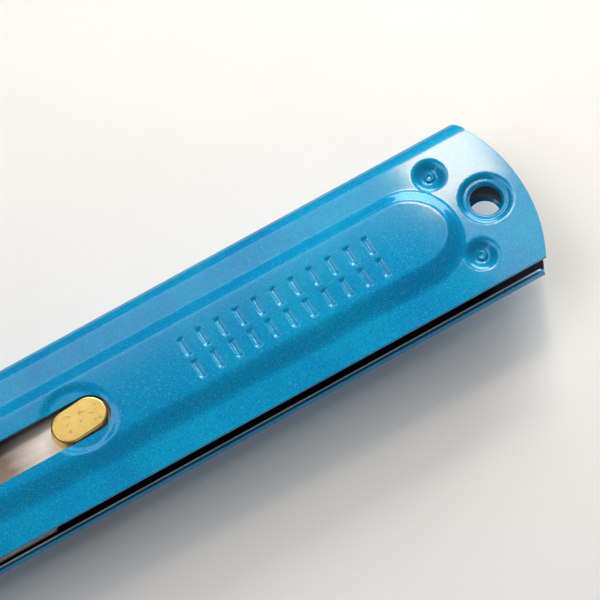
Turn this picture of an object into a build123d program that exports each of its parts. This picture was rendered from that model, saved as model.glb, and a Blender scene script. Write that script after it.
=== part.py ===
from build123d import *
import math
import os

# Millimetres. The origin is the centre of the hanging hole, half way through the thickness.
# +X runs to the tail, so the nose and the blade lie toward -X; +Z is the face with the brass stud.

# folded case; its panels, slots and hole lie on a middle line that is a little nearer the open side
case_length = 125.0
case_width = 18.8
case_depth = 5.6
sheet = 0.45
middle_offset = 0.4
fold_radius = 1.75
flange_radius = 1.2
flange_height = 2.1
flange_corner_radius = 0.8
tail_reach = 4.24
tail_arc_radius = 18.3
nose_corner_radius = 1.6

# long raised panel, one on each wall
panel_rise = 0.5
panel_side_margin = 3.3
panel_slope_run = 1.5
panel_tail_gap = 3.6
panel_nose_gap = 10.0

# hanging hole
hole_diameter = 3.4
hole_lip_top_width = 0.3
hole_lip_slope = 0.15
hole_lip_height = 0.25
hole_floor_width = 0.2
hole_dish_slope_run = 0.6
hole_dish_depth = 1.1

# pressed dimples, for the tail rivets and for the mouth guides
dimple_slope_run = 0.75
dimple_floor_gap = 0.2
dimple_depth = 0.55
dimple_edge_gap = 3.7
tail_dimple_setback = 3.7
nose_dimple_setback = 4.6

# tail rivets and their sleeves
rivet_diameter = 1.2
rivet_head_diameter = 1.8
rivet_head_height = 0.3
rivet_edge_radius = 0.12
rivet_clearance = 0.02
sleeve_wall = 0.78
sleeve_end_gap = 0.01

# front slot with its two dishes, and the back slot
slot_tail_setback = 46.1
key_side_clearance = 0.25
shank_slot_clearance = 0.15
dish_edge_gap = 0.1
dish_depth = 0.2
dish_slope_run = 0.3

# brass stud
key_length = 6.4
key_width = 3.8
key_turn = 5.0
key_end_gap = 0.3
key_below_panel = 0.05
key_edge_radius = 0.25
shank_diameter = 3.0
shank_clearance = 0.05
stake_ledge = 0.4
stake_height = 0.3

# blade
blade_thickness = 1.0
blade_side_gap = 0.25
blade_behind_stud = 5.6
blade_nose_gap = 2.8
blade_skew = 42.0
blade_bevel_width = 3.4
blade_land = 0.06
blade_hole_clearance = 0.1
blade_tang_length = 12.8
blade_tang_inset = 0.4
blade_shoulder_radius = 0.8

# steel plate on top of the blade, under the stud
plate_thickness = 1.05
plate_inset = 0.8
plate_corner_radius = 0.6

# blade carrier, a channel under the blade
carrier_sheet = 0.8
carrier_length = 22.0
carrier_leg_gap = 0.5
carrier_stop_gap = 2.96
carrier_bend_radius = 0.7
carrier_wall_gap = 0.05

# rivets that hold the blade on the carrier
blade_rivet_diameter = 2.0
blade_rivet_head_diameter = 3.0
blade_rivet_head_height = 0.4
blade_rivet_setback = 8.0
blade_rivet_leg_gap = 0.1

# drag spring under the carrier
spring_thickness = 0.3
spring_width = 5.0
spring_foot_length = 3.2
spring_bow_length = 9.0
spring_setback = 3.6
spring_wall_gap = 0.05
spring_rivet_diameter = 1.2
spring_rivet_head_diameter = 2.2
spring_rivet_head_height = 0.3

# mouth guides, one on each side of the blade
guide_length = 6.4
guide_nose_setback = 1.4
guide_side_gap = 0.25
guide_blade_gap = 0.06
guide_wall_gap = 0.02
guide_socket_clearance = 0.05
guide_edge_radius = 0.4
guide_shoulder_radius = 1.1

# clamp washer and thumb nut
washer_diameter = 8.4
washer_thickness = 0.5
washer_wall_gap = 0.03
nut_diameter = 9.6
nut_height = 3.2
nut_gap = 0.02
nut_edge_chamfer = 0.35
nut_groove_count = 28
nut_groove_radius = 0.42
nut_groove_depth = 0.26
nut_lift = 0.5
nut_lift_clearance = 0.05
nut_recess_side_gap = 0.5
nut_recess_depth = 1.45

# levels and stations that follow from the sizes above
fold_reach = case_width / 2 + middle_offset
open_reach = case_width / 2 - middle_offset
wall_outer = case_depth / 2
wall_inner = wall_outer - sheet
panel_outer = wall_outer + panel_rise
panel_inner = panel_outer - sheet
nose_x = tail_reach - case_length
panel_tail_x = -panel_tail_gap
panel_nose_x = nose_x + panel_nose_gap
panel_foot_width = 2 * (open_reach - panel_side_margin)
panel_crown_width = panel_foot_width - 2 * panel_slope_run
hole_crest_inner = hole_diameter / 2 + hole_lip_slope
hole_crest_outer = hole_crest_inner + hole_lip_top_width
hole_floor_radius = hole_crest_outer + hole_lip_slope + hole_floor_width
hole_dish_radius = hole_floor_radius + hole_dish_slope_run
dimple_floor_radius = rivet_head_diameter / 2 + dimple_floor_gap
dimple_radius = dimple_floor_radius + dimple_slope_run
dimple_half_spacing = open_reach - dimple_edge_gap
guide_tail_x = nose_x + guide_nose_setback + guide_length
slot_tail_x = -slot_tail_setback
stud_x = slot_tail_x - key_end_gap - key_length / 2
carrier_tail_x = stud_x + blade_behind_stud
carrier_nose_x = carrier_tail_x - carrier_length
carrier_half_width = panel_foot_width / 2 + carrier_leg_gap + carrier_sheet
blade_travel = carrier_nose_x - guide_tail_x - carrier_stop_gap
stud_forward_x = stud_x - blade_travel
slot_nose_x = stud_forward_x - key_end_gap - key_length / 2
blade_top = blade_thickness / 2
plate_top = blade_top + plate_thickness
carrier_bottom = -blade_top - carrier_sheet
blade_rivet_half_spacing = (
    carrier_half_width - carrier_sheet - blade_rivet_leg_gap - blade_rivet_head_diameter / 2
)
dish_radius = panel_crown_width / 2 - dish_edge_gap
stake_radius = shank_diameter / 2 + stake_ledge
shank_hole_radius = shank_diameter / 2 + shank_clearance
washer_top = -panel_outer - washer_wall_gap
nut_top = washer_top - washer_thickness - nut_gap
nut_recess_floor = nut_top - nut_height + nut_recess_depth
stake_top = nut_recess_floor - nut_lift - nut_lift_clearance


def oblong(tail_x, nose_x_end, width, z):
    # flat shape with two round ends, lying along X at height z
    middle = (tail_x + nose_x_end) / 2
    return Pos(middle, 0, z) * SlotOverall(tail_x - nose_x_end, width)


def sloped_oblong(top, rise):
    # block with sloping sides whose foot is the size of the panel
    foot = oblong(panel_tail_x, panel_nose_x, panel_foot_width, top - rise)
    crown = oblong(
        panel_tail_x - panel_slope_run,
        panel_nose_x + panel_slope_run,
        panel_crown_width,
        top,
    )
    return loft([foot, crown], ruled=True)


def dish(x, top):
    # shallow round depression with a sloping wall
    rim = Pos(x, 0, top) * Circle(dish_radius)
    floor = Pos(x, 0, top - dish_depth) * Circle(dish_radius - dish_slope_run)
    return loft([rim, floor], ruled=True)


def turned(points):
    # solid turned about Z from radius and height pairs
    outline = make_face(Polyline(*points, close=True))
    return revolve(Plane.XZ * outline, Axis.Z)


def both_faces(shape):
    return [shape, mirror(shape, about=Plane.XY)]


def disc(x, y, radius, z_low, z_high):
    height = z_high - z_low
    return Pos(x, y, z_low + height / 2) * Cylinder(radius, height)


def case_section():
    # folded sheet seen along its length, open on the -Y side above the flange
    outer = Pos(middle_offset, 0) * Rectangle(case_width, case_depth)
    inner = Pos(middle_offset, 0) * Rectangle(case_width - 2 * sheet, case_depth - 2 * sheet)
    outer = fillet([v for v in outer.vertices() if v.X > 0], fold_radius)
    inner = fillet([v for v in inner.vertices() if v.X > 0], fold_radius - sheet)
    outer = fillet([v for v in outer.vertices() if v.X < -open_reach / 2 and v.Y < 0], flange_radius)
    inner = fillet(
        [v for v in inner.vertices() if v.X < -open_reach / 2 and v.Y < 0],
        flange_radius - sheet,
    )
    slit_low = flange_height - wall_outer
    slit_height = wall_inner - slit_low
    slit = Pos(-open_reach, slit_low + slit_height / 2) * Rectangle(2 * sheet, slit_height)
    return outer - inner - slit


def case_outline():
    # both ends of the case seen from above
    arc_x = tail_reach - tail_arc_radius
    fold_shoulder = (arc_x + math.sqrt(tail_arc_radius**2 - fold_reach**2), fold_reach)
    open_shoulder = (arc_x + math.sqrt(tail_arc_radius**2 - open_reach**2), -open_reach)
    edge = Polyline(fold_shoulder, (nose_x, fold_reach), (nose_x, -open_reach), open_shoulder)
    arc = ThreePointArc(open_shoulder, (tail_reach, 0), fold_shoulder)
    outline = make_face(edge + arc)
    outline = fillet([v for v in outline.vertices() if v.X < nose_x / 2], nose_corner_radius)
    return outline, open_shoulder[0]


def flange_corners(shoulder):
    # waste outside the rounded top corners of the flange, at the tail and at the nose
    radius = flange_corner_radius
    top = flange_height - wall_outer
    waste = []
    for end_x, inward in ((shoulder, -1), (nose_x, 1)):
        block = Pos(end_x, -open_reach, top) * Box(2 * radius, 4 * sheet, 2 * radius)
        centre = Pos(end_x + inward * radius, -open_reach, top - radius)
        waste.append(block - centre * Rot(90, 0, 0) * Cylinder(radius, 8 * sheet))
    return waste


def hole_rim():
    # dished rim of the hanging hole with its raised lip, cut from the same sheet
    hole = hole_diameter / 2
    floor = wall_outer - hole_dish_depth
    crest = floor + hole_lip_height
    return turned([
        (hole, floor - sheet),
        (hole, floor),
        (hole_crest_inner, crest),
        (hole_crest_outer, crest),
        (hole_crest_outer + hole_lip_slope, floor),
        (hole_floor_radius, floor),
        (hole_dish_radius, wall_outer),
        (hole_dish_radius, wall_inner),
        (hole_floor_radius, floor - sheet),
    ])


def dimple(hole):
    # pressed dimple, its floor pierced with a hole of the given radius (0 leaves it closed)
    floor = wall_outer - dimple_depth
    return turned([
        (hole, floor - sheet),
        (hole, floor),
        (dimple_floor_radius, floor),
        (dimple_radius, wall_outer),
        (dimple_radius, wall_inner),
        (dimple_floor_radius, floor - sheet),
    ])


def dimple_spots(x):
    return [Pos(x, side * dimple_half_spacing, 0) for side in (-1, 1)]


def handle_case():
    outline, shoulder = case_outline()
    case = extrude(Plane.YZ.offset(nose_x) * case_section(), case_length)
    case &= extrude(outline, case_depth / 2, both=True)
    for waste in flange_corners(shoulder):
        case -= waste
    for shape in both_faces(sloped_oblong(panel_outer, panel_rise)):
        case += shape
    for shape in both_faces(sloped_oblong(panel_inner, panel_rise)):
        case -= shape
    for x in (stud_x, stud_forward_x):
        case -= dish(x, panel_outer)
        case += dish(x, panel_inner)
    front_slot_width = key_width + 2 * key_side_clearance
    front_slot = oblong(slot_tail_x, slot_nose_x, front_slot_width, panel_outer / 2)
    case -= extrude(front_slot, panel_outer)
    shank_reach = shank_diameter / 2 + shank_slot_clearance
    back_tail_x = stud_x + shank_reach
    back_nose_x = stud_forward_x - shank_reach
    back_slot = oblong(back_tail_x, back_nose_x, 2 * shank_reach, -panel_outer / 2)
    case -= extrude(back_slot, -panel_outer)
    case -= disc(0, 0, hole_dish_radius, -wall_outer, wall_outer)
    for rim in both_faces(hole_rim()):
        case += rim
    pierced = dimple(rivet_diameter / 2 + rivet_clearance)
    closed = dimple(0)
    for x, pressing in ((-tail_dimple_setback, pierced), (nose_x + nose_dimple_setback, closed)):
        for spot in dimple_spots(x):
            case -= spot * Cylinder(dimple_radius, case_depth)
            for shape in both_faces(pressing):
                case += spot * shape
    return case


def tail_rivets():
    # two rivets, headed over in the dimples on both faces
    seat = wall_outer - dimple_depth
    head = disc(0, 0, rivet_head_diameter / 2, seat, seat + rivet_head_height)
    head = fillet(head.edges().sort_by(Axis.Z)[-1], rivet_edge_radius)
    rivet = disc(0, 0, rivet_diameter / 2, -seat, seat)
    for shape in both_faces(head):
        rivet += shape
    return [spot * rivet for spot in dimple_spots(-tail_dimple_setback)]


def rivet_sleeves():
    # tubes that keep the two walls apart around the tail rivets
    reach = wall_inner - dimple_depth - sleeve_end_gap
    bore = rivet_diameter / 2 + rivet_clearance
    tube = disc(0, 0, bore + sleeve_wall, -reach, reach) - disc(0, 0, bore, -reach, reach)
    return [spot * tube for spot in dimple_spots(-tail_dimple_setback)]


def front_mouth_guide():
    # pad between the front wall and the blade, held by the two closed dimples
    top = wall_inner - guide_wall_gap
    bottom = blade_top + guide_blade_gap
    width = case_width - 2 * sheet - 2 * guide_side_gap
    nose = nose_x + guide_nose_setback
    centre = Pos(nose + guide_length / 2, middle_offset, (top + bottom) / 2)
    pad = centre * Box(guide_length, width, top - bottom)
    pad = fillet(pad.edges().filter_by(Axis.Z), guide_edge_radius)
    pad = fillet(pad.faces().sort_by(Axis.Z)[-1].edges().filter_by(Axis.X), guide_shoulder_radius)
    socket_depth = dimple_depth + guide_socket_clearance
    socket_radius = dimple_radius + guide_socket_clearance
    for spot in dimple_spots(nose_x + nose_dimple_setback):
        pad -= spot * disc(0, 0, socket_radius, wall_inner - socket_depth, wall_inner)
    return pad


def back_mouth_guide():
    return mirror(front_mouth_guide(), about=Plane.XY)


def blade_outline():
    # the point lies on the fold side and the cutting edge slants back to the flange side
    point_y = fold_reach - sheet - blade_side_gap
    heel_y = sheet + blade_side_gap - open_reach
    point_x = nose_x + blade_nose_gap
    heel_x = point_x + (point_y - heel_y) / math.tan(math.radians(blade_skew))
    return (point_x, point_y), (heel_x, heel_y)


def blade():
    point, heel = blade_outline()
    tang = carrier_half_width - blade_tang_inset
    shoulder_x = carrier_tail_x - blade_tang_length
    plan = make_face(Polyline(
        (carrier_tail_x, tang),
        (shoulder_x, tang),
        (shoulder_x, point[1]),
        point,
        heel,
        (shoulder_x, heel[1]),
        (shoulder_x, -tang),
        (carrier_tail_x, -tang),
        close=True,
    ))
    corners = [v for v in plan.vertices() if abs(v.X - shoulder_x) < 0.01 and abs(v.Y) > tang + 0.1]
    plan = fillet(corners, blade_shoulder_radius)
    steel = extrude(plan, blade_thickness / 2, both=True)
    skew = math.radians(blade_skew)
    lean = math.atan((blade_thickness - blade_land) / blade_bevel_width)
    away = Vector(-math.sin(skew), -math.cos(skew), 0)
    along = Vector(math.cos(skew), -math.sin(skew), 0)
    bevel = Plane(
        origin=((point[0] + heel[0]) / 2, (point[1] + heel[1]) / 2, blade_land - blade_top),
        x_dir=along,
        z_dir=away * math.sin(lean) + Vector(0, 0, math.cos(lean)),
    )
    waste = Pos(0, 0, case_depth / 2) * Box(2 * case_width, 2 * case_width, case_depth)
    steel -= bevel * waste
    steel -= disc(stud_x, 0, shank_diameter / 2 + blade_hole_clearance, -blade_top, blade_top)
    for spot in blade_rivet_spots():
        steel -= spot * Cylinder(blade_rivet_diameter / 2 + rivet_clearance, case_depth)
    return steel


def blade_rivet_spots():
    x = stud_x - blade_rivet_setback
    return [Pos(x, side * blade_rivet_half_spacing, 0) for side in (-1, 1)]


def blade_rivets():
    # two rivets through the plate, the blade and the carrier, headed over on both sides
    radius = blade_rivet_head_diameter / 2
    upper = disc(0, 0, radius, plate_top, plate_top + blade_rivet_head_height)
    upper = fillet(upper.edges().sort_by(Axis.Z)[-1], rivet_edge_radius)
    lower = disc(0, 0, radius, carrier_bottom - blade_rivet_head_height, carrier_bottom)
    lower = fillet(lower.edges().sort_by(Axis.Z)[0], rivet_edge_radius)
    rivet = disc(0, 0, blade_rivet_diameter / 2, carrier_bottom, plate_top) + upper + lower
    return [spot * rivet for spot in blade_rivet_spots()]


def slide_plate():
    # flat plate that the stud's key stands on, held by the same two rivets as the blade
    half_width = carrier_half_width - plate_inset
    centre = Pos(carrier_tail_x - carrier_length / 2, 0, (blade_top + plate_top) / 2)
    plate = centre * Box(carrier_length, 2 * half_width, plate_thickness)
    plate = fillet(plate.edges().filter_by(Axis.Z), plate_corner_radius)
    plate -= disc(stud_x, 0, shank_diameter / 2 + blade_hole_clearance, blade_top, plate_top)
    for spot in blade_rivet_spots():
        plate -= spot * Cylinder(blade_rivet_diameter / 2 + rivet_clearance, case_depth)
    return plate


def spring_rivet_x():
    return stud_x - spring_setback - spring_bow_length - spring_foot_length / 2


def blade_carrier():
    # channel folded down on both sides, its edges running on the back wall
    leg_end = carrier_wall_gap - wall_inner
    height = -blade_top - leg_end
    centre_z = (leg_end - blade_top) / 2
    outer = Pos(0, centre_z) * Rectangle(2 * carrier_half_width, height)
    outer = fillet([v for v in outer.vertices() if v.Y > centre_z], carrier_bend_radius)
    hollow = Pos(0, centre_z - carrier_sheet) * Rectangle(2 * (carrier_half_width - carrier_sheet), height)
    channel = extrude(Plane.YZ.offset(carrier_nose_x) * (outer - hollow), carrier_length)
    channel -= disc(stud_x, 0, shank_diameter / 2 + blade_hole_clearance, carrier_bottom, -blade_top)
    for spot in blade_rivet_spots():
        channel -= spot * Cylinder(blade_rivet_diameter / 2 + rivet_clearance, case_depth)
    channel -= disc(
        spring_rivet_x(), 0, spring_rivet_diameter / 2 + rivet_clearance, carrier_bottom, -blade_top
    )
    return channel


def drag_spring():
    # bowed strip, riveted to the carrier at one end, its crest running on the inside of the back panel
    tail_x = stud_x - spring_setback
    bow_end_x = tail_x - spring_bow_length
    middle_x = (tail_x + bow_end_x) / 2
    crest = spring_wall_gap - panel_inner
    upper = ThreePointArc(
        (tail_x, carrier_bottom), (middle_x, crest + spring_thickness), (bow_end_x, carrier_bottom)
    )
    lower = ThreePointArc(
        (bow_end_x, carrier_bottom - spring_thickness),
        (middle_x, crest),
        (tail_x, carrier_bottom - spring_thickness),
    )
    ends = Line((bow_end_x, carrier_bottom), (bow_end_x, carrier_bottom - spring_thickness))
    ends += Line((tail_x, carrier_bottom - spring_thickness), (tail_x, carrier_bottom))
    bow = extrude(Plane.XZ * make_face(upper + lower + ends), spring_width / 2, both=True)
    foot_centre = Pos(bow_end_x - spring_foot_length / 2, 0, carrier_bottom - spring_thickness / 2)
    foot = foot_centre * Box(spring_foot_length, spring_width, spring_thickness)
    strip = bow + foot
    return strip - disc(
        spring_rivet_x(), 0, spring_rivet_diameter / 2 + rivet_clearance,
        carrier_bottom - spring_thickness, carrier_bottom,
    )


def spring_rivet():
    foot = carrier_bottom - spring_thickness
    shank = disc(spring_rivet_x(), 0, spring_rivet_diameter / 2, foot, -blade_top)
    head = disc(spring_rivet_x(), 0, spring_rivet_head_diameter / 2, foot - spring_rivet_head_height, foot)
    head = fillet(head.edges().sort_by(Axis.Z)[0], rivet_edge_radius)
    return shank + head


def slide_stud():
    # brass stud: oblong key on the plate and in the front slot, threaded shank through the back slot
    key_height = panel_outer - key_below_panel - plate_top
    key = extrude(Pos(0, 0, plate_top) * SlotOverall(key_length, key_width), key_height)
    key = fillet(key.faces().sort_by(Axis.Z)[-1].edges(), key_edge_radius)
    stud = key + disc(0, 0, shank_diameter / 2, stake_top, plate_top)
    stud += disc(0, 0, stake_radius, stake_top - stake_height, stake_top)
    return Pos(stud_x, 0, 0) * Rot(0, 0, key_turn) * stud


def clamp_washer():
    ring = disc(stud_x, 0, washer_diameter / 2, washer_top - washer_thickness, washer_top)
    return ring - disc(stud_x, 0, shank_hole_radius, washer_top - washer_thickness, washer_top)


def thumb_nut():
    # round nut with a grooved rim and a recess that covers the staked end of the shank
    nut_bottom = nut_top - nut_height
    nut = disc(0, 0, nut_diameter / 2, nut_bottom, nut_top)
    nut = chamfer(nut.edges(), nut_edge_chamfer)
    groove_place = nut_diameter / 2 - nut_groove_depth + nut_groove_radius
    for turn in range(nut_groove_count):
        spot = Rot(0, 0, turn * 360 / nut_groove_count) * Pos(groove_place, 0, 0)
        nut -= spot * disc(0, 0, nut_groove_radius, nut_bottom, nut_top)
    nut -= disc(0, 0, shank_hole_radius, nut_bottom, nut_top)
    nut -= disc(0, 0, stake_radius + nut_recess_side_gap, nut_bottom, nut_recess_floor)
    return Pos(stud_x, 0, 0) * nut


def write(name, shape):
    solids = shape if isinstance(shape, list) else [shape]
    export_step(Compound(label=name, children=[s.solid() for s in solids]), f"parts/{name}.step")


os.makedirs("parts", exist_ok=True)
write("handle_case", handle_case())
write("tail_rivets", tail_rivets())
write("rivet_sleeves", rivet_sleeves())
write("front_mouth_guide", front_mouth_guide())
write("back_mouth_guide", back_mouth_guide())
write("blade", blade())
write("blade_rivets", blade_rivets())
write("slide_plate", slide_plate())
write("blade_carrier", blade_carrier())
write("drag_spring", drag_spring())
write("spring_rivet", spring_rivet())
write("slide_stud", slide_stud())
write("clamp_washer", clamp_washer())
write("thumb_nut", thumb_nut())
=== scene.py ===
import math
import bpy
import numpy as np
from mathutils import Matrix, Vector


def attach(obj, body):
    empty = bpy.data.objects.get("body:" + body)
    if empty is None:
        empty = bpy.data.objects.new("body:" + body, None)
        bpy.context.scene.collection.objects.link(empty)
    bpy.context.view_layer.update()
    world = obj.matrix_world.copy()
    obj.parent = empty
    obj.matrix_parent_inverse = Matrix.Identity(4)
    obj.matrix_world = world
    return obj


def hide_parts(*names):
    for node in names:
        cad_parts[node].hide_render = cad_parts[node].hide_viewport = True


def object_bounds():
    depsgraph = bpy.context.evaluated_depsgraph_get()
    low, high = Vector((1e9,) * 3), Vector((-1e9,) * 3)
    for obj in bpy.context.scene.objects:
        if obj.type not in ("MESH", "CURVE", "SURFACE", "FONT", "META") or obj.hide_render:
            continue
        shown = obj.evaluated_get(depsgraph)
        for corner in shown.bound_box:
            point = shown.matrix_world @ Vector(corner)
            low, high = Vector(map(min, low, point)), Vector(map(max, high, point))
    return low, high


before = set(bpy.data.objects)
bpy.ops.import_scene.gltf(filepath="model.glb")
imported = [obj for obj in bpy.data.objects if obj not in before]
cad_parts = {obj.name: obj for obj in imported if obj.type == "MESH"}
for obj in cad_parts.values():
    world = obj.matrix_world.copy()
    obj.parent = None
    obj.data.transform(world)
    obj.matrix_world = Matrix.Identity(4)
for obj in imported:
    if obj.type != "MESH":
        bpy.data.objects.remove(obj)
cadLow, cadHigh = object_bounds()
mm = 0.001
print("frame loaded:", ", ".join(sorted(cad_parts)))


# shared helpers

def linear(hexColour):
    # sRGB hex to linear red, green, blue, alpha
    value = np.array([int(hexColour[i:i + 2], 16) for i in (0, 2, 4)]) / 255
    value = np.where(value <= 0.04045, value / 12.92, ((value + 0.055) / 1.055) ** 2.4)
    return (*value.tolist(), 1.0)


def addNode(tree, kind, settings=None, links=None):
    # one node: settings are attributes or input values, links go from an output to an input of this node
    node = tree.nodes.new(kind)
    for key, value in (settings or {}).items():
        if isinstance(key, str) and hasattr(node, key):
            setattr(node, key, value)
        else:
            node.inputs[key].default_value = value
    for key, source in (links or {}).items():
        tree.links.new(source, node.inputs[key])
    return node


def newMaterial(name):
    material = bpy.data.materials.new(name)
    material.use_nodes = True
    tree = material.node_tree
    tree.nodes.clear()
    return material, tree


def finishMaterial(tree, settings, links):
    shader = addNode(tree, "ShaderNodeBsdfPrincipled", settings, links)
    addNode(tree, "ShaderNodeOutputMaterial", None, {"Surface": shader.outputs["BSDF"]})


def meshObject(name, points, quads, triangles=None, material=None, smooth=True):
    # points in millimetres; quads and triangles are index arrays
    mesh = bpy.data.meshes.new(name)
    triangles = np.zeros((0, 3), int) if triangles is None else triangles
    corners = np.concatenate([quads.ravel(), triangles.ravel()]).astype(np.int32)
    sizes = np.concatenate([np.full(len(quads), 4), np.full(len(triangles), 3)]).astype(np.int32)
    starts = np.concatenate([[0], np.cumsum(sizes)[:-1]]).astype(np.int32)
    mesh.vertices.add(len(points))
    mesh.vertices.foreach_set("co", (points * mm).astype(np.float32).ravel())
    mesh.loops.add(len(corners))
    mesh.loops.foreach_set("vertex_index", corners)
    mesh.polygons.add(len(sizes))
    mesh.polygons.foreach_set("loop_start", starts)
    mesh.polygons.foreach_set("loop_total", sizes)
    mesh.polygons.foreach_set("use_smooth", np.full(len(sizes), smooth))
    mesh.update(calc_edges=True)
    mesh.validate()
    piece = bpy.data.objects.new(name, mesh)
    bpy.context.scene.collection.objects.link(piece)
    if material:
        mesh.materials.append(material)
    return piece


def softStep(t):
    # 0 below 0, 1 above 1, level at both ends
    t = np.clip(t, 0, 1)
    return t * t * (3 - 2 * t)


def spaced(*runs):
    # stations from runs of (start, end, step)
    parts = [np.linspace(a, b, max(1, int(round(abs(b - a) / step))) + 1)[:-1] for a, b, step in runs]
    return np.concatenate(parts + [[runs[-1][1]]])


# materials: sizes in millimetres, colours in sRGB hex

def perMetre(*sizes):
    # pattern sizes in millimetres to noise scales in Object coordinates
    return [1 / (size * mm) for size in sizes]


def noise(tree, scale, place, **settings):
    settings = {"Scale": scale, **{key.capitalize(): value for key, value in settings.items()}}
    return addNode(tree, "ShaderNodeTexNoise", settings, {"Vector": place}).outputs["Fac"]


def stretched(tree, sizes, place, turn=0.0):
    settings = {"Scale": perMetre(*sizes), "Rotation": (0, 0, turn)}
    return addNode(tree, "ShaderNodeMapping", settings, {"Vector": place}).outputs[0]


def ranged(tree, value, low, high, start=0.0, end=1.0):
    settings = {"From Min": start, "From Max": end, "To Min": low, "To Max": high}
    return addNode(tree, "ShaderNodeMapRange", settings, {"Value": value}).outputs[0]


def mixed(tree, amount, first, second):
    # first and second are hex colours or colour outputs
    settings, links = {"data_type": "RGBA"}, {0: amount}
    for socket, colour in ((6, first), (7, second)):
        if isinstance(colour, str):
            settings[socket] = linear(colour)
        else:
            links[socket] = colour
    return addNode(tree, "ShaderNodeMix", settings, links).outputs[2]


def calculated(tree, operation, first, second, third=None):
    # second and third are numbers or outputs
    settings, links = {"operation": operation}, {0: first}
    for socket, value in ((1, second), (2, third)):
        if isinstance(value, (int, float)):
            settings[socket] = value
        elif value is not None:
            links[socket] = value
    return addNode(tree, "ShaderNodeMath", settings, links).outputs[0]


def bumped(tree, height, strength, depth, under=None):
    links = {"Height": height, "Normal": under} if under else {"Height": height}
    return addNode(tree, "ShaderNodeBump", {"Strength": strength, "Distance": depth * mm}, links).outputs[0]


# Stoved metallic enamel over pressed steel: aluminium flakes in a blue coat under a clear one, so it shines
# in a soft broad way with a fine sparkle, and the clear coat puts a small sharp reflection on top. Part of the
# sparkle is painted: a few flakes are coloured pale as painted glints. Along the inner corner of the flange's
# cut edge a pale, less metallic line is painted in as a painted highlight. The flakes are drawn coarser than
# real ones, which would be too fine to show.
paint = dict(
    # the pale blue glint colour paints glints on a few flakes; the near-white edge colour paints a highlight
    # along the flange's inner corner
    deep="0066A4", flake="009AC0", paintedGlint="A8DCF2", brightened="F4F8FA",
    smooth=0.31, rough=0.44, metallic=0.3, coat=0.6, coatRoughness=0.085, undercoat=0.0,
    flakeSize=0.11, flakeShare=0.5, flakeBump=0.3, flakeDepth=0.02, peelSize=1.6, peelBump=0.25, peelDepth=0.03,
    # amounts as lowest, highest, and where in the pattern they start and end
    toneRange=(0.1, 0.9, 0.35, 1.15), paintedGlintRange=(0.0, 0.1, 0.93, 0.98), paintedHighlightPatchRange=(0.55, 1.0, 0.3, 0.5),
    # the pale, less metallic line at these Z and Y is a painted highlight on the flange's inner corner
    patchNoiseSize=9.0, paintedHighlightZ=-0.72, paintedHighlightHeight=0.14, paintedHighlightY=-8.6, paintedHighlightWidth=0.13, paintedHighlightMetallic=0.2,
)


def stovedBlue():
    c = paint
    material, tree = newMaterial("stoved metallic blue enamel")
    place = addNode(tree, "ShaderNodeTexCoord").outputs["Object"]
    axes = addNode(tree, "ShaderNodeSeparateXYZ", None, {"Vector": place})
    flakes = addNode(tree, "ShaderNodeTexVoronoi", {"Scale": perMetre(c["flakeSize"])[0]}, {"Vector": place})
    sparkle = addNode(tree, "ShaderNodeSeparateColor", None, {"Color": flakes.outputs["Color"]})
    patchNoise = noise(tree, perMetre(c["patchNoiseSize"])[0], place, detail=4.0)
    blend = calculated(tree, "MULTIPLY_ADD", sparkle.outputs["Red"], c["flakeShare"], patchNoise)
    colour = mixed(tree, ranged(tree, blend, *c["toneRange"]), c["deep"], c["flake"])
    # a few flakes turn pale: painted glints
    colour = mixed(tree, ranged(tree, sparkle.outputs["Blue"], *c["paintedGlintRange"]), colour, c["paintedGlint"])
    # painted highlight, pale and less metallic, where z and y both lie on the flange's inner corner, in patches
    paintedHighlightMask = calculated(tree, "COMPARE", axes.outputs["Z"], c["paintedHighlightZ"] * mm, c["paintedHighlightHeight"] * mm)
    corner = calculated(tree, "COMPARE", axes.outputs["Y"], c["paintedHighlightY"] * mm, c["paintedHighlightWidth"] * mm)
    paintedHighlightMask = calculated(tree, "MULTIPLY", paintedHighlightMask, corner)
    paintedHighlightMask = calculated(tree, "MULTIPLY", paintedHighlightMask, ranged(tree, patchNoise, *c["paintedHighlightPatchRange"]))
    colour = mixed(tree, paintedHighlightMask, colour, c["brightened"])
    grain = bumped(tree, sparkle.outputs["Green"], c["flakeBump"], c["flakeDepth"])
    peel = noise(tree, perMetre(c["peelSize"])[0], place, detail=2.0)
    finishMaterial(
        tree,
        {"Specular IOR Level": c["undercoat"], "Coat Weight": c["coat"], "Coat Roughness": c["coatRoughness"]},
        {"Base Color": colour,
         "Metallic": ranged(tree, paintedHighlightMask, c["metallic"], c["paintedHighlightMetallic"]),
         "Roughness": ranged(tree, patchNoise, c["smooth"], c["rough"]),
         "Normal": bumped(tree, peel, c["peelBump"], c["peelDepth"], grain)},
    )
    return material


# Inside of the case: dull and almost black, a painted shade for the dark inside of the folded sheet.
inside = dict(dark="020A14", light="061C2E", mottleSize=1.25, roughness=0.7, specular=0.2)


def insideShade():
    c = inside
    material, tree = newMaterial("painted shade inside the case")
    place = addNode(tree, "ShaderNodeTexCoord").outputs["Object"]
    mottle = noise(tree, perMetre(c["mottleSize"])[0], place, detail=3.0)
    finishMaterial(tree, {"Roughness": c["roughness"], "Specular IOR Level": c["specular"]},
                   {"Base Color": mixed(tree, mottle, c["dark"], c["light"])})
    return material


# Carbon steel, surface ground across its width: a bright grey sheen with fine parallel lines.
ground = dict(
    dark="B9AFA6", light="E6DCD2", lineSizes=(0.16667, 3.846, 1.6667), cloudSize=7.692,
    smooth=0.32, rough=0.5, bump=0.3, bumpDepth=0.01,
)


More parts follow.
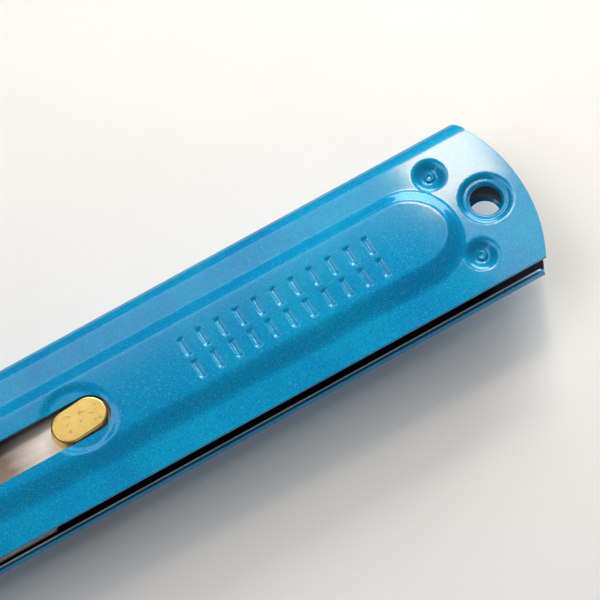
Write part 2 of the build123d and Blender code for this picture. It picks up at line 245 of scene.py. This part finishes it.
def groundSteel():
    c = ground
    material, tree = newMaterial("surface-ground carbon steel")
    place = addNode(tree, "ShaderNodeTexCoord").outputs["Object"]
    grind = noise(tree, 1.0, stretched(tree, c["lineSizes"], place), detail=3.0)
    cloud = noise(tree, perMetre(c["cloudSize"])[0], place, detail=3.0)
    finishMaterial(tree, {"Metallic": 1.0},
                   {"Base Color": mixed(tree, cloud, c["dark"], c["light"]),
                    "Roughness": ranged(tree, grind, c["smooth"], c["rough"]),
                    "Normal": bumped(tree, grind, c["bump"], c["bumpDepth"])})
    return material


# Free-cutting brass, turned and handled: warm yellow, polished by the thumb, with brown scratches.
brass = dict(
    dark="C49850", light="DCC87C", scratch="8A6430", scratchSizes=(0.76923, 0.38462, 0.66667), scratchTurn=0.35,
    scratchFrom=0.56, scratchTo=0.72, stainSize=2.38095, smooth=0.24, rough=0.46, bump=0.35, bumpDepth=0.02,
)


def handledBrass(name, wear):
    c = brass
    material, tree = newMaterial(name)
    place = addNode(tree, "ShaderNodeTexCoord").outputs["Object"]
    scratchPlace = stretched(tree, c["scratchSizes"], place, c["scratchTurn"])
    scratches = noise(tree, 1.0, scratchPlace, detail=5.0, roughness=0.7)
    stain = noise(tree, perMetre(c["stainSize"])[0], place, detail=5.0, roughness=0.6)
    marks = ranged(tree, scratches, 0.0, wear, c["scratchFrom"], c["scratchTo"])
    finishMaterial(tree, {"Metallic": 1.0},
                   {"Base Color": mixed(tree, marks, mixed(tree, stain, c["dark"], c["light"]), c["scratch"]),
                    "Roughness": ranged(tree, stain, c["smooth"], c["rough"]),
                    "Normal": bumped(tree, scratches, c["bump"], c["bumpDepth"])})
    return material


# Zinc-plated pressed steel: pale grey with a faint cloudy spangle.
zinc = dict(
    dark="8E9092", light="C4C6C6", spangleSize=1.1111, smooth=0.31, rough=0.48, bump=0.2, bumpDepth=0.01,
)

# Nickel-plated steel: a little warmer and brighter, and smoother.
nickel = dict(zinc, dark="A8A6A0", light="D2CFC8", smooth=0.17, rough=0.34)

# Spring steel, hardened and blued by heat: dark blue-grey, half glossy.
blued = dict(zinc, dark="23262E", light="4A5060", smooth=0.27, rough=0.44)


def platedSteel(name, c):
    material, tree = newMaterial(name)
    place = addNode(tree, "ShaderNodeTexCoord").outputs["Object"]
    spangle = noise(tree, perMetre(c["spangleSize"])[0], place, detail=4.0)
    finishMaterial(tree, {"Metallic": 1.0},
                   {"Base Color": mixed(tree, spangle, c["dark"], c["light"]),
                    "Roughness": ranged(tree, spangle, c["smooth"], c["rough"]),
                    "Normal": bumped(tree, spangle, c["bump"], c["bumpDepth"])})
    return material


# Bright-rolled mild steel plate: pale near the stud as a painted reflection, darker and browner further along
# as painted shade, broken into streaks.
# the pale colour near the stud is a painted reflection, the brown one further along a painted shade
plate = dict(
    brightened="FFF6EE", paintedShade="6C584A", paintedReflectionX=-52.5, paintedShadeX=-60.5, streakSizes=(8.3333, 1.42857, 3.3333),
    streakShare=0.5, paintedShadeShare=0.889, falloffFrom=0.2, falloffTo=1.0,
    metallic=0.85, roughness=0.5, bump=0.25, bumpDepth=0.01,
)


def slidePlateWithPaintedLight():
    c = plate
    material, tree = newMaterial("bright-rolled mild steel with painted reflection and shade")
    place = addNode(tree, "ShaderNodeTexCoord").outputs["Object"]
    axes = addNode(tree, "ShaderNodeSeparateXYZ", None, {"Vector": place})
    streak = noise(tree, 1.0, stretched(tree, c["streakSizes"], place), detail=4.0)
    # lighter near the stud and darker further along X: painted reflection fading to painted shade
    along = ranged(tree, axes.outputs["X"], 0.0, 1.0, c["paintedReflectionX"] * mm, c["paintedShadeX"] * mm)
    lightFalloff = calculated(tree, "MULTIPLY_ADD", streak, c["streakShare"], along)
    amount = ranged(tree, lightFalloff, 0.0, c["paintedShadeShare"], c["falloffFrom"], c["falloffTo"])
    finishMaterial(tree, {"Metallic": c["metallic"], "Roughness": c["roughness"]},
                   {"Base Color": mixed(tree, amount, c["brightened"], c["paintedShade"]),
                    "Normal": bumped(tree, streak, c["bump"], c["bumpDepth"])})
    return material


# Moulded black nylon: dull, with the fine spark-eroded grain of its mould.
nylon = dict(dark="141516", light="26282A", grainSize=0.2, roughness=0.55, bump=0.3, bumpDepth=0.02)


def mouldedNylon():
    c = nylon
    material, tree = newMaterial("moulded black nylon")
    place = addNode(tree, "ShaderNodeTexCoord").outputs["Object"]
    grain = noise(tree, perMetre(c["grainSize"])[0], place, detail=2.0)
    finishMaterial(tree, {"Roughness": c["roughness"]},
                   {"Base Color": mixed(tree, grain, c["dark"], c["light"]),
                    "Normal": bumped(tree, grain, c["bump"], c["bumpDepth"])})
    return material


blueEnamel = stovedBlue()
paintedInsideShade = insideShade()
bladeSteel = groundSteel()
studBrass = handledBrass("turned brass rubbed by the thumb", 0.85)
nutBrass = handledBrass("turned and grooved brass", 0.35)
slideSteel = slidePlateWithPaintedLight()
zincSteel = platedSteel("zinc-plated pressed steel", zinc)
nickelSteel = platedSteel("nickel-plated steel", nickel)
bluedSteel = platedSteel("blued spring steel", blued)
blackNylon = mouldedNylon()
print("materials made")


# folded case: the outside face of one sheet is worked out here, and Solidify gives it its thickness

case = dict(
    noseX=-120.76, tailX=4.239, foldReach=9.8, openReach=9.0, outer=2.8, sheet=0.45, foldRadius=1.75,
    flangeRadius=1.2, flangeTop=-0.7, flangeCorner=0.8, tailArc=18.3, noseCorner=1.6, edgeRounding=0.09,
)
# the panel's slope is softer on the side of the open edge
panel = dict(rise=0.5, foot=5.7, slope=1.5, tailX=-3.6, noseX=-110.76, softSpan=4.0, softTop=1.0, softSlope=1.4)
slot = dict(
    tailX=-46.1, noseX=-97.1, half=2.15, backHalf=1.65, studX=-49.6, studForwardX=-93.6,
    dishRadius=4.1, dishSlope=0.8, dishDepth=0.15,
)
hole = dict(
    radius=1.7, frontDish=0.4, backDish=1.1, dishInner=1.95, dishWidth=0.65,
    flare=0.1, flareInner=2.5, flareWidth=0.45, groove=0.1, grooveRadius=2.42, grooveWidth=0.17,
    lip=0.16, lipRadius=2.02, lipWidth=0.2, edgeDrop=0.5, edgeInner=1.45, edgeWidth=0.5,
)
dimple = dict(
    tailX=-3.7, noseX=-116.16, reachY=5.3, rivetHole=0.62,
    depth=0.6, bowlInner=0.82, bowlWidth=0.72, flare=0.1, flareInner=1.5, flareWidth=0.38,
)
bars = dict(pitch=2.25, count=11, noseX=-36.0, half=0.3, edge=0.08, row=1.45, reach=1.0, depth=0.13)


def sectionPoint(s):
    # s runs along the outside of the section from the front wall's free edge, over the fold, to the flange;
    # gives y, z and the outward direction: each straight adds its length, each bend its sine and cosine
    c = case
    foldY = c["foldReach"] - c["foldRadius"]
    foldZ = c["outer"] - c["foldRadius"]
    bendY = c["flangeRadius"] - c["openReach"]
    bendZ = c["flangeRadius"] - c["outer"]
    quarter = math.pi / 2
    lengths = [foldY + c["openReach"], c["foldRadius"] * quarter, 2 * foldZ, c["foldRadius"] * quarter,
               foldY - bendY, c["flangeRadius"] * quarter, c["flangeTop"] - bendZ]
    ends = np.cumsum(lengths)
    part = [np.clip(s - start, 0, length) for start, length in zip(ends - lengths, lengths)]
    one, two, three = part[1] / c["foldRadius"], part[3] / c["foldRadius"], part[5] / c["flangeRadius"]
    angle = quarter - one - two - three
    y = -c["openReach"] + part[0] - part[4]
    z = np.full_like(s, c["outer"]) - part[2] + part[6]
    y = y + c["foldRadius"] * (np.sin(one) - (1 - np.cos(two))) - c["flangeRadius"] * np.sin(three)
    z = z - c["foldRadius"] * ((1 - np.cos(one)) + np.sin(two)) + c["flangeRadius"] * (1 - np.cos(three))
    return y, z, np.cos(angle), np.sin(angle), ends


def oblongDistance(x, y, tailX, noseX):
    # distance from the straight line between the two ends' centres
    return np.hypot(x - np.clip(x, noseX, tailX), y)


def inward(r, inner, width):
    # 1 inside the inner radius, falling softly to 0 over the width
    return 1 - softStep((r - inner) / width)


def straightInward(r, inner, width):
    return 1 - np.clip((r - inner) / width, 0, 1)


def ringHeight(r, dish):
    # rim of the hanging hole: a shallow flare, a round groove, a rounded lip, then down to the hole's edge
    c = hole
    lip = c["lip"] * np.exp(-((r - c["lipRadius"]) / c["lipWidth"]) ** 2)
    groove = c["groove"] * np.exp(-((r - c["grooveRadius"]) / c["grooveWidth"]) ** 2)
    flare = c["flare"] * straightInward(r, c["flareInner"], c["flareWidth"])
    floor = (dish - c["flare"]) * inward(r, c["dishInner"], c["dishWidth"])
    return lip - flare - groove - floor - c["edgeDrop"] * inward(r, c["edgeInner"], c["edgeWidth"])


def dimpleHeight(r):
    # a shallow flare about a bowl with straight sloping sides
    c = dimple
    bowl = (c["depth"] - c["flare"]) * straightInward(r, c["bowlInner"], c["bowlWidth"])
    return -bowl - c["flare"] * straightInward(r, c["flareInner"], c["flareWidth"])


def pressedBars(x, y):
    # two rows of plain bars, where such a knife is usually stamped: 1 on a bar's floor, 0 off it
    c = bars
    number = np.clip(np.round((x - c["noseX"]) / c["pitch"]), 0, c["count"] - 1)
    across = np.abs(x - c["noseX"] - number * c["pitch"]) - c["half"]
    along = np.abs(np.abs(y) - c["row"]) - c["reach"]
    return np.clip(0.5 - np.maximum(across, along) / (2 * c["edge"]), 0, 1)


def wallRelief(x, y, front):
    # how far the wall stands out of its flat at (x, y): the panel, less the dishes at both ends of the slot
    # and the bars, with the hole's rim and the dimples added
    c = panel
    reach = oblongDistance(x, y, c["tailX"] - c["foot"], c["noseX"] + c["foot"])
    softer = softStep(-y / c["softSpan"])
    top = c["foot"] - c["slope"] - c["softTop"] * softer
    relief = c["rise"] * inward(reach, top, c["slope"] + c["softSlope"] * softer)
    if front:
        for dishX in (slot["studX"], slot["studForwardX"]):
            reach = np.hypot(x - dishX, y)
            dish = inward(reach, slot["dishRadius"] - slot["dishSlope"], slot["dishSlope"])
            relief = relief - slot["dishDepth"] * dish
        relief = relief - bars["depth"] * pressedBars(x, y)
    relief = relief + ringHeight(np.hypot(x, y), hole["frontDish"] if front else hole["backDish"])
    for dimpleX in (dimple["tailX"], dimple["noseX"]):
        relief = relief + dimpleHeight(np.hypot(x - dimpleX, np.abs(y) - dimple["reachY"]))
    return relief


def sheetField(x, s):
    # positive on the sheet, negative in a hole or past an edge: the smallest distance to any of its edges
    c = case
    farInside = 9.0
    y, z, outY, outZ, ends = sectionPoint(s)
    # arched tail
    arcX = c["tailX"] - c["tailArc"]
    shoulderX = arcX + math.sqrt(c["tailArc"] ** 2 - c["openReach"] ** 2)
    field = np.where(x > 0, c["tailArc"] - np.hypot(x - arcX, y), farInside)
    # rounded corners of the nose
    cornerX = c["noseX"] + c["noseCorner"]
    pastY = np.abs(y) - np.where(y > 0, c["foldReach"], c["openReach"]) + c["noseCorner"]
    inCorner = (x < cornerX) & (pastY > 0)
    field = np.where(inCorner, np.minimum(field, c["noseCorner"] - np.hypot(x - cornerX, pastY)), field)
    # rounded ends of the flange
    flangeZ = c["flangeTop"] - c["flangeCorner"]
    onFlange = (s > ends[5] - 0.01) & (z > flangeZ)
    for endX, side in ((shoulderX, 1), (cornerX, -1)):
        centreX = endX - side * c["flangeCorner"]
        past = onFlange & (side * (x - centreX) > 0)
        rounded = np.minimum(field, c["flangeCorner"] - np.hypot(x - centreX, z - flangeZ))
        field = np.where(past, rounded, field)
    # slots and holes
    front = s < ends[0]
    back = (s > ends[3]) & (s < ends[4])
    slit = oblongDistance(x, y, slot["tailX"] - slot["half"], slot["noseX"] + slot["half"]) - slot["half"]
    field = np.where(front, np.minimum(field, slit), field)
    slit = oblongDistance(x, y, slot["studX"], slot["studForwardX"]) - slot["backHalf"]
    field = np.where(back, np.minimum(field, slit), field)
    rivetHole = np.hypot(x - dimple["tailX"], np.abs(y) - dimple["reachY"]) - dimple["rivetHole"]
    holes = np.minimum(np.hypot(x, y) - hole["radius"], rivetHole)
    return np.where(front | back, np.minimum(field, holes), field)


def cutToEdges(x, s, field):
    # moves the grid points next to an edge exactly onto it, and keeps the faces on the sheet
    value = field(x, s)
    near = np.zeros(value.shape, bool)
    for axis in (0, 1):
        one = value[:-1] if axis == 0 else value[:, :-1]
        two = value[1:] if axis == 0 else value[:, 1:]
        crossing = one * two < 0
        first = crossing & (np.abs(one) <= np.abs(two))
        second = crossing & ~first
        if axis == 0:
            near[:-1] |= first
            near[1:] |= second
        else:
            near[:, :-1] |= first
            near[:, 1:] |= second
    step = 0.002
    for _ in range(4):
        slopeX = (field(x + step, s) - field(x - step, s)) / (2 * step)
        slopeS = (field(x, s + step) - field(x, s - step)) / (2 * step)
        size = np.maximum(slopeX ** 2 + slopeS ** 2, 0.25)
        value = field(x, s)
        x = np.where(near, x - value * slopeX / size, x)
        s = np.where(near, s - value * slopeS / size, s)
    side = np.where(near, 0, np.sign(value)).astype(int)
    rows, columns = x.shape
    index = np.arange(rows * columns).reshape(rows, columns)
    quads = np.stack([index[:-1, :-1], index[1:, :-1], index[1:, 1:], index[:-1, 1:]], axis=-1).reshape(-1, 4)
    sides = side.ravel()[quads]
    middle = field(x.ravel()[quads].mean(1), s.ravel()[quads].mean(1))
    whole = (sides >= 0).all(1) & ((sides > 0).any(1) | (middle > 0))
    triangles = []
    for corner in range(4):
        opposite = (corner + 2) % 4
        half = (sides[:, opposite] < 0) & (sides[:, corner] > 0)
        half = half & (np.delete(sides, opposite, 1) >= 0).all(1)
        triangles.append(quads[half][:, [(corner - 1) % 4, corner, (corner + 1) % 4]])
    return x, s, quads[whole], np.concatenate(triangles)


def keepUsed(points, quads, triangles):
    used = np.unique(np.concatenate([quads.ravel(), triangles.ravel()]))
    renumber = np.full(len(points), -1)
    renumber[used] = np.arange(len(used))
    return points[used], renumber[quads], renumber[triangles]


def foldedCase():
    c = case
    ends = sectionPoint(np.zeros(1))[4]
    foldY = c["foldReach"] - c["foldRadius"]
    bendY = c["openReach"] - c["flangeRadius"]
    # grid lines lie close together only where the relief bends: start, end and step of each run
    frontY = spaced(
        (-c["openReach"], -7.4, 0.4), (-7.4, -3.2, 0.18), (-3.2, 3.2, 0.14), (3.2, 7.4, 0.18),
        (7.4, foldY, 0.3),
    )
    backY = spaced(
        (foldY, 7.3, 0.4), (7.3, 3.3, 0.36), (3.3, -3.3, 0.26), (-3.3, -7.3, 0.36), (-7.3, -bendY, 0.3),
    )
    stationS = np.concatenate([
        (frontY + c["openReach"])[:-1],
        np.linspace(ends[0], ends[1], 8)[:-1], np.linspace(ends[1], ends[2], 3)[:-1],
        np.linspace(ends[2], ends[3], 8)[:-1], (ends[3] + foldY - backY)[:-1],
        np.linspace(ends[4], ends[5], 7)[:-1], np.linspace(ends[5], ends[6], 5),
    ])
    stationX = spaced(
        (c["noseX"], -118.2, 0.4), (-118.2, -114.1, 0.23), (-114.1, -111, 0.8), (-111, -104.9, 0.5),
        (-104.9, -98, 1.4), (-98, -89, 0.29), (-89, -54, 1.9), (-54, -45.2, 0.25), (-45.2, -37.4, 1.9),
        (-37.4, -12.2, 30), (-12.2, -9.4, 1.9), (-9.4, -5.8, 0.3),
        (-5.8, -3.2, 0.18), (-3.2, 3.2, 0.14), (3.2, c["tailX"] + 0.001, 0.21),
    )
    # six more across each bar: beside it, and at the top and foot of both its walls
    middles = bars["noseX"] + bars["pitch"] * np.arange(bars["count"])[:, None]
    sides = np.array([-1, -1, -1, 1, 1, 1]) * bars["half"] + np.array([-2, -1, 1, -1, 1, 2]) * bars["edge"]
    stationX = np.sort(np.concatenate([stationX, (middles + sides).ravel()]))
    x, s = np.meshgrid(stationX, stationS, indexing="ij")
    x, s, quads, triangles = cutToEdges(x, s, sheetField)
    y, z, outY, outZ, ends = sectionPoint(s)
    front, back = s < ends[0], (s > ends[3]) & (s < ends[4])
    relief = np.where(front, wallRelief(x, y, True), 0) + np.where(back, wallRelief(x, y, False), 0)
    # each point of the flat strip moves out along its own outward direction by the relief
    points = np.stack([x, y + outY * relief, z + outZ * relief], axis=-1).reshape(-1, 3)
    points, quads, triangles = keepUsed(points, quads, triangles)
    piece = meshObject("foldedCase", points, quads, triangles, blueEnamel)
    wall = piece.modifiers.new("sheetThickness", "SOLIDIFY")
    wall.thickness = c["sheet"] * mm
    wall.offset = -1
    wall.use_even_offset = True
    # the inner shell takes the second material, the painted shade of the inside
    wall.material_offset = 1
    piece.data.materials.append(paintedInsideShade)
    edge = piece.modifiers.new("edgeRounding", "BEVEL")
    edge.width = c["edgeRounding"] * mm
    edge.segments = 2
    edge.limit_method = "ANGLE"
    edge.angle_limit = math.radians(50)
    edge.harden_normals = True
    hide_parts("handle_case")
    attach(piece, "case")
    return piece


casePiece = foldedCase()
shown = casePiece.evaluated_get(bpy.context.evaluated_depsgraph_get()).to_mesh()
shown.calc_loop_triangles()
print("case made:", len(casePiece.data.polygons), "faces,", len(shown.loop_triangles), "triangles shown")


# tail rivets: a thin brim in the dimple, a dark crease and a hollow-topped pip, the same on both faces

rivet = dict(
    seat=2.2, brim=0.9, brimRise=0.04, brimRound=0.04, shank=0.6,
    crease=0.05, creaseRadius=0.7, creaseWidth=0.1, pip=0.17, pipRadius=0.38, pipWidth=0.17,
    hollow=0.07, hollowWidth=0.25, ringSteps=30, turnSteps=48,
)


def turnedPiece(name, r, z, centres, material):
    # each point of the profile (r, z) is carried round the upright axis; its two ends lie on the axis
    angle = np.linspace(0, 2 * math.pi, rivet["turnSteps"], endpoint=False)
    ring = np.stack([np.outer(r[1:-1], np.cos(angle)), np.outer(r[1:-1], np.sin(angle)),
                     np.repeat(z[1:-1, None], len(angle), 1)], axis=-1)
    index = np.arange(ring[..., 0].size).reshape(ring.shape[:2])
    after = np.roll(index, -1, axis=1)
    quads = np.stack([index[:-1], index[1:], after[1:], after[:-1]], axis=-1).reshape(-1, 4)
    first, last = ring[..., 0].size, ring[..., 0].size + 1
    triangles = np.concatenate([np.stack([np.full(len(angle), first), index[0], after[0]], axis=-1),
                                np.stack([np.full(len(angle), last), after[-1], index[-1]], axis=-1)])
    points = np.concatenate([ring.reshape(-1, 3), [[0, 0, z[0]], [0, 0, z[-1]]]])
    shift = np.arange(len(centres))[:, None, None] * len(points)
    every = np.concatenate([points + np.array(centre) for centre in centres])
    quads, triangles = (quads[None] + shift).reshape(-1, 4), (triangles[None] + shift).reshape(-1, 3)
    return meshObject(name, every, quads, triangles, material)


def tailRivets():
    c = rivet
    r = np.linspace(0, c["brim"] - c["brimRound"], c["ringSteps"])
    top = c["seat"] + c["brimRise"] + c["pip"] * np.exp(-((r - c["pipRadius"]) / c["pipWidth"]) ** 2)
    top = top + c["hollow"] * np.exp(-(r / c["hollowWidth"]) ** 2)
    top = top - c["crease"] * np.exp(-((r - c["creaseRadius"]) / c["creaseWidth"]) ** 2)
    foot = c["seat"] - c["brimRound"]
    r = np.concatenate([r, [c["brim"] - 0.01, c["brim"], c["brim"], c["shank"]]])
    top = np.concatenate([top, [c["seat"] + 0.02, c["seat"], foot, foot]])
    r, top = np.concatenate([r, r[::-1]]), np.concatenate([top, -top[::-1]])
    spots = [(dimple["tailX"], side * dimple["reachY"], 0) for side in (-1, 1)]
    piece = turnedPiece("tailRivets", r, top, spots, blueEnamel)
    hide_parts("tail_rivets")
    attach(piece, "case")


tailRivets()
print("tail rivets made")


# finishes of the CAD nodes that are shown as they are

finishes = {
    "rivet_sleeves": zincSteel, "front_mouth_guide": blackNylon, "back_mouth_guide": blackNylon,
    "blade": bladeSteel, "blade_rivets": zincSteel, "slide_plate": slideSteel, "blade_carrier": zincSteel,
    "drag_spring": bluedSteel, "spring_rivet": zincSteel, "slide_stud": studBrass,
    "clamp_washer": nickelSteel, "thumb_nut": nutBrass,
}
for node, material in finishes.items():
    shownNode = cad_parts[node]
    shownNode.data.materials.clear()
    shownNode.data.materials.append(material)
print("finishes given to", len(finishes), "nodes")


# floor, light and camera

# board in millimetres, camera in millimetres and degrees
board = dict(size=3000, dark="EAE9E6", light="F2F1EE", mottleSize=25.0, roughness=0.75)
sky = dict(colour="EEF2F6", strength=0.2)
view = dict(target=(-22.8, 0.0, 2.8), azimuth=-31.2, elevation=65.0, distance=1000.0, lens=574.2, sensor=36.0)
# metres and watts: three large lights for the whole, and four small near ones that the clear coat reflects,
# along the side of the fold, at the tail, around it and in the lower rims of the hole and dimples
lights = dict(
    windowBox=dict(place=(0.62, 0.74, 0.42), aim=(-0.03, 0, 0), size=(0.7, 0.5), power=9.2, colour="FFFFFF"),
    topBox=dict(place=(-0.53, 0.10, 0.86), aim=(-0.03, 0, 0), size=(0.6, 0.6), power=3.0, colour="FFFFFF"),
    rimBox=dict(place=(0.17, -0.80, 0.34), aim=(-0.03, 0, 0), size=(0.5, 0.25), power=0.8, colour="FFFFFF"),
    sheenBox=dict(place=(-0.015, 0.1175, 0.2), aim=None, size=(0.19, 0.07), power=0.11, colour="FFFFFF"),
    tailBox=dict(place=(0.0245, 0.048, 0.1), aim=None, size=(0.01, 0.016), power=0.0165, colour="FFDDB0"),
    veilBox=dict(place=(0.0268, 0.036, 0.1), aim=None, size=(0.011, 0.026), power=0.0028, colour="FFFFFF"),
    lipBox=dict(
        place=(0.04, 0.066, 0.067), aim=(0, 0, 0.0025), size=(0.028, 0.01), power=0.02, colour="FFF4E6",
    ),
)


def paleFloor():
    material, tree = newMaterial("matt painted board")
    place = addNode(tree, "ShaderNodeTexCoord").outputs["Object"]
    mottle = noise(tree, perMetre(board["mottleSize"])[0], place, detail=3.0)
    finishMaterial(tree, {"Roughness": board["roughness"]},
                   {"Base Color": mixed(tree, mottle, board["dark"], board["light"])})
    half = board["size"] / 2
    low = cadLow.z / mm
    points = np.array([[-half, -half, low], [half, -half, low], [half, half, low], [-half, half, low]])
    floor = meshObject("floor", points, np.array([[0, 1, 2, 3]]), None, material, False)


def softLight(name, place, aim, size, power, colour):
    # without an aim the light faces straight down, its first side along X
    light = bpy.data.lights.new(name, "AREA")
    light.shape = "RECTANGLE"
    light.size, light.size_y = size
    light.energy = power
    light.color = linear(colour)[:3]
    lamp = bpy.data.objects.new(name, light)
    lamp.location = Vector(place)
    if aim:
        lamp.rotation_euler = (Vector(aim) - Vector(place)).to_track_quat("-Z", "Y").to_euler()
    lamp.visible_camera = False
    bpy.context.scene.collection.objects.link(lamp)


def studioCamera():
    c = view
    turn, rise = math.radians(c["azimuth"]), math.radians(c["elevation"])
    back = Vector((math.sin(turn) * math.cos(rise), -math.cos(turn) * math.cos(rise), math.sin(rise)))
    lens = bpy.data.cameras.new("camera")
    lens.sensor_width = c["sensor"]
    lens.lens = c["lens"]
    lens.clip_start, lens.clip_end = 0.01, 20
    camera = bpy.data.objects.new("camera", lens)
    camera.location = (Vector(c["target"]) + back * c["distance"]) * mm
    camera.rotation_euler = (-back).to_track_quat("-Z", "Y").to_euler()
    bpy.context.scene.collection.objects.link(camera)
    bpy.context.scene.camera = camera


paleFloor()
for name, values in lights.items():
    softLight(name, **values)
world = bpy.data.worlds.new("studioSky")
world.use_nodes = True
world.node_tree.nodes["Background"].inputs["Color"].default_value = linear(sky["colour"])
world.node_tree.nodes["Background"].inputs["Strength"].default_value = sky["strength"]
bpy.context.scene.world = world
bpy.context.scene.view_settings.view_transform = "Standard"
studioCamera()
print("floor, light and camera set")
